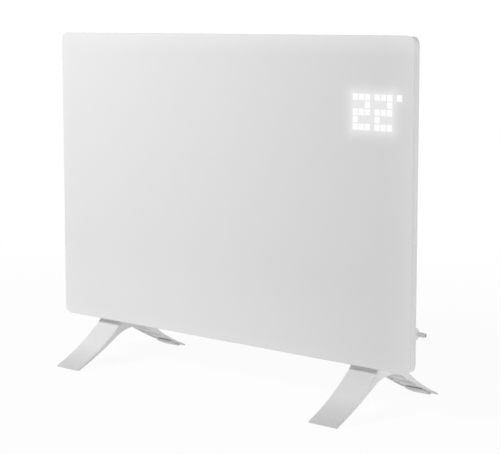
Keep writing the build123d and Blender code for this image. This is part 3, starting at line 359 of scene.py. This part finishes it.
# -------------------------------------------------------------- rear panel and floor
# Flat sheet steel with punched air slots, keyholes and lock-screw holes, and a folded
# channel under it that carries the feet. Both have the tray's powder coat.

dress(white_steel, "rear_panel", "bottom_channel")


# ------------------------------------------------------------ end caps and grille
# Injection-moulded in white ABS. The caps hook into the tray and close the casing's
# sides, and the grille with its curved vanes is snapped in between them on top.

white_plastic = moulded("white_plastic", grey(0.77), grey(0.805), 0.36)
dress(white_plastic, "end_cap_left", "end_cap_right", "outlet_grille")


# ------------------------------------------------------------------- casing screws
# Zinc-plated pan-head screws with a cross recess. Four hold the rear panel to the end
# caps' tongues, and two more hold the tray to the caps, out of sight behind the glass.

def choose_nothing(piece, kind):
    """Leaves edit mode with nothing selected, and sets which kind is chosen next."""
    bpy.ops.object.mode_set(mode="OBJECT")
    bpy.context.tool_settings.mesh_select_mode = kind
    for parts in (piece.data.vertices, piece.data.edges, piece.data.polygons):
        parts.foreach_set("select", [False] * len(parts))


def choose(piece, test):
    """Selects the faces whose middle and normal pass a test, and nothing else."""
    choose_nothing(piece, (False, False, True))
    for face in piece.data.polygons:
        face.select = test(face.center, face.normal)
    bpy.ops.object.mode_set(mode="EDIT")


def choose_edges(piece, test):
    """Selects the edges whose two ends pass a test, and nothing else."""
    choose_nothing(piece, (False, True, False))
    for edge in piece.data.edges:
        ends = [piece.data.vertices[i].co for i in edge.vertices]
        edge.select = test(*ends)
        for i in edge.vertices:
            piece.data.vertices[i].select |= edge.select
    bpy.ops.object.mode_set(mode="EDIT")


def draw_out(step, width=1.0, centre=(0, 0, 0), height=None):
    """Extrudes the chosen faces by a step, then scales them across it about a centre."""
    bpy.ops.mesh.extrude_region_move(TRANSFORM_OT_translate={"value": step})
    sides = [1.0 if part else width for part in step]
    if height is not None:
        sides[2] = height
    bpy.ops.transform.resize(value=sides, center_override=centre)


def ledge(width, centre=(0, 0, 0), height=None, way=(0, 0, -1)):
    """Starts new faces in the chosen ones' plane, at a scale, by a trace of a step."""
    trace = 1e-6
    draw_out([part * trace for part in way], width, centre, height)


def close_up(piece, finish_material, angle=35):
    """Leaves edit mode, smooths the shallow edges and gives the piece its finish."""
    bpy.ops.object.mode_set(mode="OBJECT")
    bpy.ops.object.shade_smooth_by_angle(angle=math.radians(angle))
    piece.data.materials.clear()
    piece.data.materials.append(finish_material)


def cross_head_screw(name, head_r, head_height, shank_r, length, pitch):
    """A screw on the Z axis: its seat is at 0, its head above and its thread below."""
    bpy.ops.mesh.primitive_cylinder_add(vertices=32, radius=head_r, depth=head_height,
                                        location=(0, 0, head_height / 2))
    screw = bpy.context.object
    screw.name = name
    bpy.ops.object.transform_apply(location=True)
    crown = head_height * 0.55
    choose_edges(screw, lambda a, b: min(a.z, b.z) > head_height * 0.99)
    bpy.ops.mesh.bevel(offset=crown, segments=5, profile=0.55, affect="EDGES")
    choose(screw, lambda middle, normal: normal.z < -0.9)
    ledge(shank_r / head_r)
    root, point, point_length = 0.82, 0.7, 0.0002
    for _ in range(int(length / pitch)):
        draw_out((0, 0, -pitch / 2), root)
        draw_out((0, 0, -pitch / 2), 1 / root)
    draw_out((0, 0, -(length % pitch) - point_length), point)
    bpy.ops.object.mode_set(mode="OBJECT")

    arm, reach, depth, slope = head_r * 0.17, head_r * 0.38, head_height * 0.35, 0.55
    bpy.ops.mesh.primitive_cube_add(size=2 * arm, location=(0, 0, head_height))
    cross = bpy.context.object
    bpy.ops.object.transform_apply(location=True)
    choose(cross, lambda middle, normal: abs(normal.z) < 0.1)
    bpy.ops.mesh.extrude_faces_move(TRANSFORM_OT_shrink_fatten={"value": reach})
    choose(cross, lambda middle, normal: normal.z < -0.9)
    bpy.ops.transform.translate(value=(0, 0, -depth))
    bpy.ops.transform.resize(value=(slope, slope, 1), center_override=(0, 0, 0))
    choose(cross, lambda middle, normal: True)
    bpy.ops.mesh.normals_make_consistent(inside=False)
    bpy.ops.object.mode_set(mode="OBJECT")
    recess = screw.modifiers.new("recess", "BOOLEAN")
    recess.operation = "DIFFERENCE"
    recess.object = cross
    bpy.ops.object.select_all(action="DESELECT")
    bpy.context.view_layer.objects.active = screw
    screw.select_set(True)
    bpy.ops.object.modifier_apply(modifier="recess")
    bpy.data.objects.remove(cross)
    close_up(screw, screw_steel)
    return screw


def set_screws(screw, node, places, aim):
    """Puts a copy of a screw at each place, in the CAD node's stead, each cross turned."""
    cross_turn = 0.6
    for count, spot in enumerate(places, 1):
        one = screw.copy()
        one.data = screw.data.copy()
        one.name = "%s_%d" % (screw.name, count)
        bpy.context.scene.collection.objects.link(one)
        one.data.transform(Matrix.Translation(spot) @ aim
                           @ Matrix.Rotation(cross_turn * count, 4, "Z"))
        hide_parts(node)
        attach(one, "root")
    bpy.data.objects.remove(screw)


screw_steel, shader, place = finish("screw_steel", Metallic=1.0)
worn = place.grain(0.0012, 3.0)
worn.between((0.60, 0.61, 0.62), (0.78, 0.79, 0.80)).into(shader, "Base Color")
(0.26 + 0.16 * worn).into(shader, "Roughness")
place.grain(0.0004).relief(0.00001).into(shader, "Normal")
dress(screw_steel, "front_screws")

screws_low, screws_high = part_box("rear_screws")
half_flats, half_corners = 0.0030, 0.00346
rear_seat_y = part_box("rear_panel")[1].y
rear_x = screws_high.x - half_flats
rear_zs = (screws_low.z + half_corners, screws_high.z - half_corners)
rear_screw = cross_head_screw("rear_screw", head_r=0.0032, head_height=0.0020,
                              shank_r=0.0015, length=0.0048, pitch=0.0009)
set_screws(rear_screw, "rear_screws",
           [(x, rear_seat_y, z) for x in (-rear_x, rear_x) for z in rear_zs],
           Matrix.Rotation(-math.pi / 2, 4, "X"))


# ----------------------------------------------------- partition and heat baffle
# Plain galvanised sheet: the partition keeps the electronics' room apart from the
# hot air, and the baffle shields the glass from the element.

dress(zinc_steel, "partition_plate", "heat_baffle")


# ------------------------------------------------------------------ heating element
# A steel-sheathed rod pressed through a row of stamped aluminium fins. It hangs in
# ceramic bushes on two galvanised brackets, clear of the casing on all sides.

element_aluminium, shader, place = finish("element_aluminium", Metallic=1.0)
rolled = place.drawn(1, 1, 0.05).grain(0.0006)
rolled.between((0.66, 0.67, 0.68), (0.84, 0.85, 0.86)).into(shader, "Base Color")
(0.26 + 0.14 * rolled).into(shader, "Roughness")
rolled.relief(0.00001).into(shader, "Normal")
dress(element_aluminium, "heating_element")

sheath_steel, shader, place = finish("sheath_steel", Metallic=1.0)
tint = place.grain(0.030, 1.0)
tint.between((0.55, 0.40, 0.22), (0.30, 0.31, 0.36)).into(shader, "Base Color")
(0.34 + 0.1 * place.grain(0.001)).into(shader, "Roughness")
dress(sheath_steel, "element_core")

ceramic, shader, place = finish("ceramic", IOR=1.6)
speck = place.grain(0.0006, 3.0)
speck.between((0.66, 0.63, 0.57), (0.86, 0.84, 0.79)).into(shader, "Base Color")
(0.55 + 0.15 * speck).into(shader, "Roughness")
speck.relief(0.00004).into(shader, "Normal")
dress(ceramic, "element_bushes")
dress(zinc_steel, "element_brackets")


# -------------------------------------------------------------- safety switches
# A thermal cut-out on the baffle and a tip-over switch on the channel floor, both in
# black phenolic housings.

dress(black_plastic, "overheat_cutout", "tip_switch")


# ------------------------------------------------------------------- room sensor
# A thermistor cast into a bead of dark epoxy resin. A clip of white nylon holds it over
# the inlet slots, where the room's air comes in.

sensor_epoxy, shader, place = finish("sensor_epoxy", IOR=1.55, Coat_Weight=0.5)
runs = place.grain(0.002)
runs.between((0.05, 0.045, 0.04), (0.10, 0.09, 0.08)).into(shader, "Base Color")
(0.15 + 0.1 * runs).into(shader, "Roughness")
runs.relief(0.0001).into(shader, "Normal")
dress(sensor_epoxy, "room_sensor")
dress(white_plastic, "sensor_clip")


# ------------------------------------------------------------ power board's parts
# White snap posts carry the board. On it stand a sealed blue relay, a small
# transformer, a sleeved smoothing capacitor, a yellow film capacitor, green screw
# terminals and the ribbon cable's white socket.

dress(white_plastic, "board_posts", "ribbon_socket", "mains_terminal_block")
dress(moulded("relay_blue", (0.035, 0.11, 0.34), (0.05, 0.15, 0.42), 0.25), "relay")
dress(moulded("film_yellow", (0.70, 0.50, 0.06), (0.80, 0.60, 0.10), 0.28),
      "suppression_capacitor")
dress(moulded("terminal_green", (0.05, 0.32, 0.12), (0.08, 0.40, 0.16), 0.35),
      "board_terminals")

sleeve_blue, shader, place = finish("sleeve_blue", Coat_Weight=0.3)
can_low, can_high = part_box("smoothing_capacitor")
half_stripe = 0.0022
stripe = abs(place.axis("Z") - (can_low.z + can_high.z) / 2) < half_stripe
one_side = stripe * (place.axis("X") < (can_low.x + can_high.x) / 2)
one_side.between((0.03, 0.06, 0.20), (0.60, 0.62, 0.66)).into(shader, "Base Color")
(0.24 + 0.12 * place.grain(0.002)).into(shader, "Roughness")
dress(sleeve_blue, "smoothing_capacitor")

core_and_tape, shader, place = finish("core_and_tape")
core_low, core_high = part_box("transformer")
leaf_pitch, half_tape = 0.0005, 0.0085
leaf = (place.axis("X") % leaf_pitch) / leaf_pitch
taped = abs(place.axis("Z") - (core_low.z + core_high.z) / 2) < half_tape
iron = (0.4 * leaf + 0.2 * place.grain(0.002)).clamped()
iron = iron.between((0.05, 0.05, 0.055), (0.16, 0.15, 0.14))
taped.between(iron, (0.62, 0.44, 0.05)).into(shader, "Base Color")
(0.38 + 0.15 * place.grain(0.0008)).into(shader, "Roughness")
dress(core_and_tape, "transformer")


# ------------------------------------------------------------------ button bezel
# A pale grey moulded plate with rounded ends, snapped on the right cap round the four
# buttons, with a small board of snap switches behind them.

grey_plastic = moulded("grey_plastic", (0.80, 0.803, 0.806), (0.84, 0.842, 0.845), 0.38)
dress(grey_plastic, "control_bezel")
dress(black_plastic, "tact_switches")


# ---------------------------------------------------------------------- buttons
# Four satin grey caps with slightly dished faces and pad-printed marks: less, more,
# mode and power. Each has a flange that keeps it behind the bezel and a stem that
# presses its switch.

button_plastic, shader, place = finish("button_plastic", IOR=1.48)
low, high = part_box("button_minus")
button_y, first_z = (low.y + high.y) / 2, (low.z + high.z) / 2
button_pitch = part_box("button_plus")[0].z - low.z
y, z = place.axis("Y") - button_y, place.axis("Z") - (first_z - button_pitch / 2)
which = (z / button_pitch).floor()
z = z % button_pitch - button_pitch / 2
half_line, half_mark, rung_gap, print_depth = 0.00032, 0.0021, 0.0014, 0.0006
ring_gap, tick_middle, half_tick = 0.0009, 0.0016, 0.0012
bar = (abs(z) < half_line) * (abs(y) < half_mark)
upright = (abs(y) < half_line) * (abs(z) < half_mark)
rungs = (abs(abs(z) - rung_gap) < half_line) * (abs(y) < half_mark)
radius = (y * y + z * z).root()
ring = (abs(radius - half_mark) < half_line) * ((z < 0.0).most(abs(y) > ring_gap))
tick = (abs(y) < half_line) * (abs(z - tick_middle) < half_tick)
marks = which.near(0, 0.1) * bar
for number, mark in enumerate((bar.most(upright), bar.most(rungs), ring.most(tick)), 1):
    marks = marks.most(which.near(number, 0.1) * mark)
marks = marks * (place.axis("X") > high.x - print_depth)
satin = place.grain(0.0007)
cap = place.grain(0.02, 1.0).between((0.57, 0.58, 0.59), (0.62, 0.63, 0.64))
marks.between(cap, (0.05, 0.05, 0.055)).into(shader, "Base Color")
(0.34 + 0.10 * satin).into(shader, "Roughness")
satin.relief(0.00003).into(shader, "Normal")

cap_width, cap_height = 0.0090, 0.0120
corner_bevel, face_bevel = 0.0010, 0.0005
dish_rim, dish_depth, dish_width, dish_height = 0.0004, 0.00018, 0.72, 0.8
flange_width, flange_height, flange_thickness, flange_gap = 0.0114, 0.0144, 0.0010, 0.0003
stem_width = 0.0030
cap_back_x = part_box("control_bezel")[0].x - flange_gap
middle = (0, button_y, first_z)
bpy.ops.mesh.primitive_cube_add(
    size=1, scale=(high.x - cap_back_x, cap_width, cap_height),
    location=((high.x + cap_back_x) / 2, button_y, first_z))
button = bpy.context.object
bpy.ops.object.transform_apply(location=True, scale=True)
choose_edges(button, lambda a, b: abs(a.x - b.x) > 0.001)
bpy.ops.mesh.bevel(offset=corner_bevel, segments=4, affect="EDGES")
choose_edges(button, lambda a, b: min(a.x, b.x) > high.x - 0.0001)
bpy.ops.mesh.bevel(offset=face_bevel, segments=3, affect="EDGES")
choose(button, lambda centre, normal: normal.x > 0.99)
bpy.ops.mesh.inset(thickness=dish_rim)
draw_out((-dish_depth, 0, 0), dish_width, middle, dish_height)
choose(button, lambda centre, normal: normal.x < -0.99)
ledge(flange_width / cap_width, middle, flange_height / cap_height, (-1, 0, 0))
draw_out((-flange_thickness, 0, 0))
ledge(stem_width / flange_width, middle, stem_width / flange_height, (-1, 0, 0))
draw_out((low.x - cap_back_x + flange_thickness, 0, 0))
close_up(button, button_plastic, 30)
buttons = "button_minus", "button_plus", "button_mode", "button_power"
for count, name in enumerate(buttons):
    one = button.copy()
    one.data = button.data.copy()
    one.name = name + "_cap"
    bpy.context.scene.collection.objects.link(one)
    one.data.transform(Matrix.Translation((0, 0, count * button_pitch)))
    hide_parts(name)
    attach(one, name)
bpy.data.objects.remove(button)


# ------------------------------------------------------------------ mains switch
# A snap-in rocker switch: a matt black frame and a glossy black rocker, whose line
# and ring are pad-printed white.

dress(black_plastic, "rocker_frame")

rocker_plastic, shader, place = finish("rocker_plastic", IOR=1.5, Coat_Weight=0.6,
                                       Coat_Roughness=0.08)
low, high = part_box("mains_rocker")
y = place.axis("Y") - (low.y + high.y) / 2
z = place.axis("Z") - (low.z + high.z) / 2
front = place.axis("X") > (low.x + high.x) / 2
half_line, half_bar, ring_r = 0.0003, 0.0014, 0.0013
bar_rise, ring_drop = 0.0042, 0.0040
bar = (abs(y) < half_line) * (abs(z - bar_rise) < half_bar)
z = z + ring_drop
ring = abs((y * y + z * z).root() - ring_r) < half_line
marks = bar.most(ring) * front
marks.between((0.035, 0.035, 0.038), grey(0.80)).into(shader, "Base Color")
(0.14 + 0.08 * place.grain(0.004)).into(shader, "Roughness")
dress(rocker_plastic, "mains_rocker")


# ------------------------------------------------------------------- cord gland
# Pale grey nylon. The threaded body is clamped through the right cap with a locknut,
# and the dome nut, with ribs to grip it by, ends in a slim ringed nose.

pale_nylon = moulded("pale_nylon", (0.86, 0.862, 0.865), (0.90, 0.902, 0.904), 0.38)
dress(pale_nylon, "gland_body", "gland_locknut")

low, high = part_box("gland_nut")
gland_y, gland_z = (low.y + high.y) / 2, (low.z + high.z) / 2
ribs, rib_faces = 12, 4
facets = ribs * rib_faces
grip_r, nose_r, bore_r, recess_r = 0.0085, 0.0034, 0.0024, 0.0063
grip_length, dome_length, recess_depth = 0.0142, 0.0024, 0.0070
grip_bevel, rib_edge, rib_height = 0.0006, 0.00012, 0.00045
axis_point = (0, gland_y, gland_z)
bpy.ops.mesh.primitive_cylinder_add(
    vertices=facets, radius=grip_r, depth=grip_length, rotation=(0, math.pi / 2, 0),
    location=(low.x + grip_length / 2, gland_y, gland_z))
nut = bpy.context.object
nut.name = "gland_dome_nut"
bpy.ops.object.transform_apply(location=True, rotation=True)
choose_edges(nut, lambda a, b: abs(a.x - b.x) < 1e-6)
bpy.ops.mesh.bevel(offset=grip_bevel, segments=3, affect="EDGES")


def in_groove(centre, normal):
    """True for the faces between two of the grip's ribs."""
    turn = math.atan2(normal.z, normal.y) % math.tau
    return abs(normal.x) < 0.05 and int(turn / math.tau * facets) % rib_faces < 2


choose(nut, in_groove)
bpy.ops.mesh.inset(thickness=rib_edge, depth=-rib_height)
choose(nut, lambda centre, normal: normal.x > 0.99)
rim_r = grip_r - grip_bevel
reached_x, reached_r = low.x + grip_length, rim_r
dome_steps = (0.0006, 0.0068), (0.0010, 0.0045), (dome_length - 0.0016, nose_r)
for length, radius in dome_steps:
    draw_out((length, 0, 0), radius / reached_r, axis_point)
    reached_x, reached_r = reached_x + length, radius
rings, ring_gap, groove_side, groove_width, groove_r = 3, 0.0016, 0.0002, 0.0006, 0.0031
draw_out((ring_gap, 0, 0), 1.0, axis_point)
reached_x += ring_gap
for _ in range(rings):
    draw_out((groove_side, 0, 0), groove_r / nose_r, axis_point)
    draw_out((groove_width, 0, 0), 1.0, axis_point)
    draw_out((groove_side, 0, 0), nose_r / groove_r, axis_point)
    draw_out((ring_gap, 0, 0), 1.0, axis_point)
    reached_x += ring_gap + groove_width + 2 * groove_side
end_bevel, end_r = 0.0004, 0.92 * nose_r
draw_out((high.x - end_bevel - reached_x, 0, 0), 1.0, axis_point)
draw_out((end_bevel, 0, 0), end_r / nose_r, axis_point)
ledge(bore_r / end_r, axis_point, way=(1, 0, 0))
draw_out((low.x + recess_depth - high.x, 0, 0), 1.0, axis_point)
choose(nut, lambda centre, normal: normal.x < -0.99 and centre.x < low.x + 0.0001)
ledge(recess_r / rim_r, axis_point, way=(-1, 0, 0))
draw_out((recess_depth, 0, 0), 1.0, axis_point)
floor_x = low.x + recess_depth
choose(nut, lambda centre, normal: abs(normal.x) > 0.99 and abs(centre.x - floor_x) < 1e-5)
bpy.ops.mesh.delete(type="FACE")
bpy.ops.mesh.select_mode(type="EDGE")
bpy.ops.mesh.select_all(action="DESELECT")
bpy.ops.mesh.select_non_manifold()
bpy.ops.mesh.bridge_edge_loops()
close_up(nut, pale_nylon, 32)
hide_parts("gland_nut")
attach(nut, "root")


# -------------------------------------------------------------------------- feet
# Two bridges moulded in white ABS, with painted shade darkening them towards the toes.
# Each is held up against the channel by two screws through its bosses into nuts
# welded inside.

toe_height, shade_height = 0.004, 0.026
foot_plastic, shader, place = finish("foot_plastic", IOR=1.48)
pits = place.grain(0.0009)
# painted shade: the white is darkest up to the toe's height and pales over the shade's
# height above it
clear_of_toe_shade = ((place.axis("Z") - toe_height) / shade_height).clamped()
clear_of_toe_shade.between(grey(0.68), grey(0.85)).into(shader, "Base Color")
(0.36 + 0.10 * pits).into(shader, "Roughness")
pits.relief(0.00004).into(shader, "Normal")
dress(foot_plastic, "foot_left", "foot_right")
dress(zinc_steel, "weld_nuts")

screws_low, screws_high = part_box("foot_screws")
foot_low, foot_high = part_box("foot_right")
half_flats, head_height, end_gap = 0.0040, 0.0035, 0.0004
foot_seat_z = screws_low.z + head_height
foot_x = (foot_low.x + foot_high.x) / 2
foot_y = screws_high.y - half_flats
foot_screw = cross_head_screw("foot_screw", head_r=0.0042, head_height=head_height,
                              shank_r=0.0025, pitch=0.0012,
                              length=screws_high.z - foot_seat_z - end_gap)
set_screws(foot_screw, "foot_screws",
           [(x, y, foot_seat_z) for x in (-foot_x, foot_x) for y in (-foot_y, foot_y)],
           Matrix.Rotation(math.pi, 4, "X"))


# ---------------------------------------------------------------------- floor pads
# Four thin pads of pale grey soft rubber, moulded with fine ribs and glued into the
# seats under the feet's toes.

pad_rubber, shader, place = finish("pad_rubber", IOR=1.45)
dust = place.grain(0.004, 4.0)
dust.between((0.85, 0.85, 0.852), (0.89, 0.89, 0.892)).into(shader, "Base Color")
(0.72 + 0.15 * dust).into(shader, "Roughness")
rib_pitch = 0.002
ribs = (place.axis("X") % rib_pitch) < rib_pitch / 2
(place.grain(0.0012) + ribs).relief(0.00004).into(shader, "Normal")
dress(pad_rubber, "pad_front_left", "pad_front_right", "pad_rear_left", "pad_rear_right")


# ------------------------------------------------------------------------- studio
# A pale floor, lit a little from within, under an even white sky. One soft light stands
# high in front on the left, a weaker one on the right and one behind. The camera has
# the photograph's place and lens.

shadow_share, shadow_reach = 0.07, 1.5
floor_glow = 0.30
bpy.ops.mesh.primitive_plane_add(size=12.0, location=(0, 0, 0))
floor = bpy.context.object
floor.name = "floor"


def seen_directly(tree):
    """1 for what the camera sees, straight or reflected, and 0 for light's own paths."""
    path = tree.nodes.new("ShaderNodeLightPath").outputs
    straight, gloss, through = (Field(tree, path["Is %s Ray" % kind])
                                for kind in ("Camera", "Glossy", "Transmission"))
    return straight.most(gloss.most(through))


floor_paint = bpy.data.materials.new("floor_paint")
floor_paint.use_nodes = True
tree = floor_paint.node_tree
tree.nodes.clear()
seen = seen_directly(tree)
place = Field(tree, tree.nodes.new("ShaderNodeTexCoord").outputs["Object"])
away = place.made("ShaderNodeVectorMath", {"operation": "LENGTH"}, {0: place}, "Value")
glow = 1 - shadow_share * (shadow_reach - away).clamped()
matt = seen.made("ShaderNodeBsdfDiffuse", {}, {"Color": (0.94, 0.94, 0.94, 1)})
white = seen.made("ShaderNodeEmission", {}, {"Color": (1, 1, 1, 1), "Strength": 1.0})
lit = (glow * seen).most(floor_glow)
result = seen.made("ShaderNodeMixShader", {}, {0: lit, 1: matt, 2: white})
tree.links.new(result.socket, tree.nodes.new("ShaderNodeOutputMaterial").inputs["Surface"])
floor.data.materials.append(floor_paint)

sky = bpy.data.worlds.new("sky")
sky.use_nodes = True
bpy.context.scene.world = sky
tree = sky.node_tree
tree.nodes.clear()
seen = seen_directly(tree)
dim = seen.made("ShaderNodeBackground", {}, {"Color": (1, 1, 1, 1), "Strength": 0.25})
white = seen.made("ShaderNodeBackground", {}, {"Color": (1, 1, 1, 1), "Strength": 1.0})
result = seen.made("ShaderNodeMixShader", {}, {0: seen, 1: dim, 2: white})
tree.links.new(result.socket, tree.nodes.new("ShaderNodeOutputWorld").inputs["Surface"])


def soft_light(name, spot, aim, size, power):
    """A square soft light at a spot, turned to what it lights."""
    lamp = bpy.data.lights.new(name, "AREA")
    lamp.size = size
    lamp.energy = power
    light = bpy.data.objects.new(name, lamp)
    light.location = spot
    light.rotation_euler = (Vector(aim) - Vector(spot)).to_track_quat("-Z", "Y").to_euler()
    bpy.context.scene.collection.objects.link(light)


soft_light("key_light", spot=(-0.77, -1.45, 1.36), aim=(-0.60, 0.0, 0.48),
           size=0.5, power=21.8)
soft_light("fill_light", spot=(1.9, 0.1, 0.7), aim=(0.3, 0.0, 0.20),
           size=1.2, power=10.5)
soft_light("back_light", spot=(-0.5, 2.2, 0.85), aim=(0.0, 0.0, 0.25),
           size=1.2, power=16.0)

camera_turn, camera_tilt = 40.664, 6.838
camera = bpy.data.cameras.new("camera")
camera.lens = 107.48
camera.sensor_width = 36.0
camera.shift_y = -0.06
viewer = bpy.data.objects.new("camera", camera)
viewer.location = (1.4414, -1.6556, 0.5407)
viewer.rotation_euler = (math.radians(90 - camera_tilt), 0, math.radians(camera_turn))
bpy.context.scene.collection.objects.link(viewer)
bpy.context.scene.camera = viewer
bpy.context.scene.view_settings.view_transform = "Standard"
